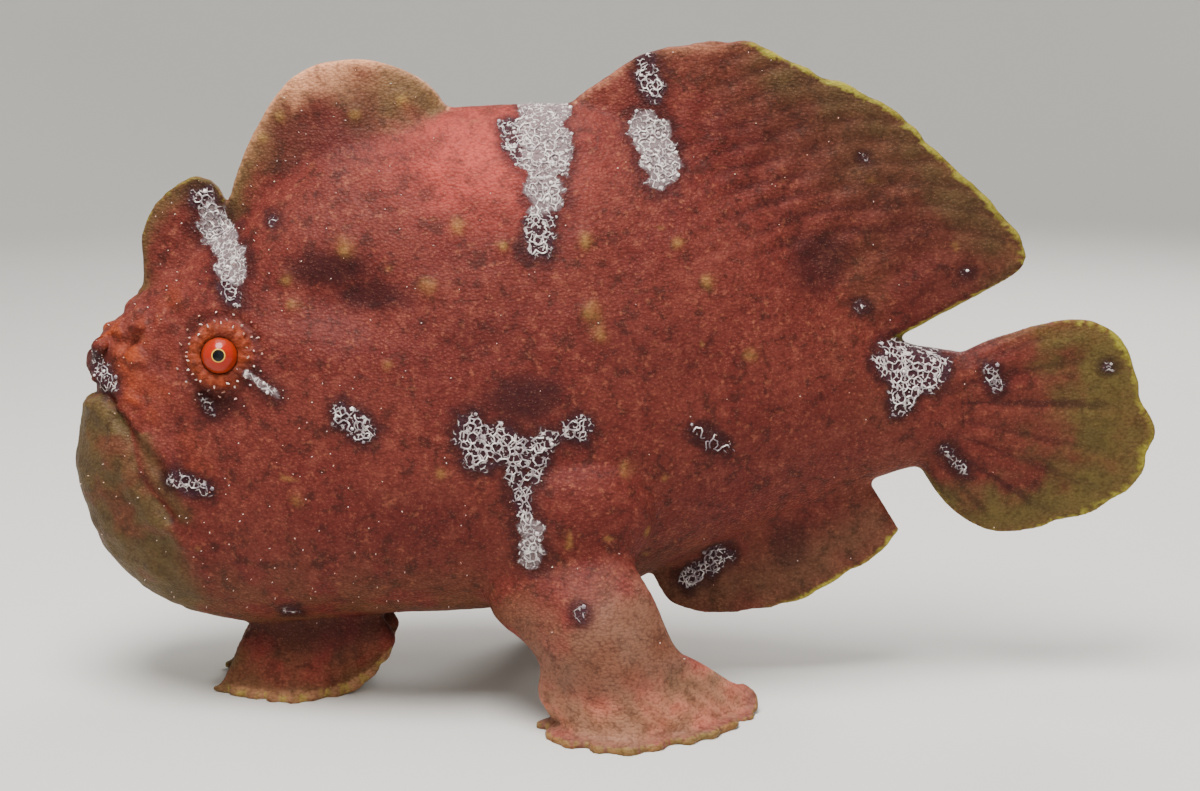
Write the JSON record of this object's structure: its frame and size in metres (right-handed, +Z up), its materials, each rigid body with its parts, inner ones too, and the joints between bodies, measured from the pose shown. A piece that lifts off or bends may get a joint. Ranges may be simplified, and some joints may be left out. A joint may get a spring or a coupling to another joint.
{
  "type": "giant frogfish model",
  "caption": "Life-size still model of a giant frogfish standing on its arm-like pectoral fins and its pelvic fins, mouth shut and lure folded back.",
  "frame": {"origin": "on the floor under the centre of the fish's bounding box", "axes": "+X to the tail, nose at -X; +Y to the fish's right side; +Z up"},
  "size_m": [0.3004, 0.1218, 0.1801],
  "materials": {
    "red_skin": "rough, granular brick-red fish skin with white crust patches",
    "olive_skin": "rough khaki-olive fish skin",
    "pink_skin": "rough pink-red fish skin with yellow-green fin edges",
    "eye": "wet glossy eye, red iris with a gold ring and black pupil",
    "lure": "pale pink soft skin"
  },
  "bodies": {
    "root": {"head": "red_skin", "lower_jaw": "olive_skin", "trunk": "red_skin", "tail_stalk": "red_skin", "dorsal_spine_2": "red_skin", "dorsal_spine_3": "red_skin", "dorsal_fin": "red_skin", "anal_fin": "red_skin", "caudal_fin": "red_skin", "pectoral_arm_left": "pink_skin", "pectoral_arm_right": "pink_skin", "pectoral_fin_left": "pink_skin", "pectoral_fin_right": "pink_skin", "pelvic_fin_left": "pink_skin", "pelvic_fin_right": "pink_skin", "eye_left": "eye", "eye_right": "eye", "lure_rod": "lure", "lure_bait": "lure"}
  },
  "joints": []
}
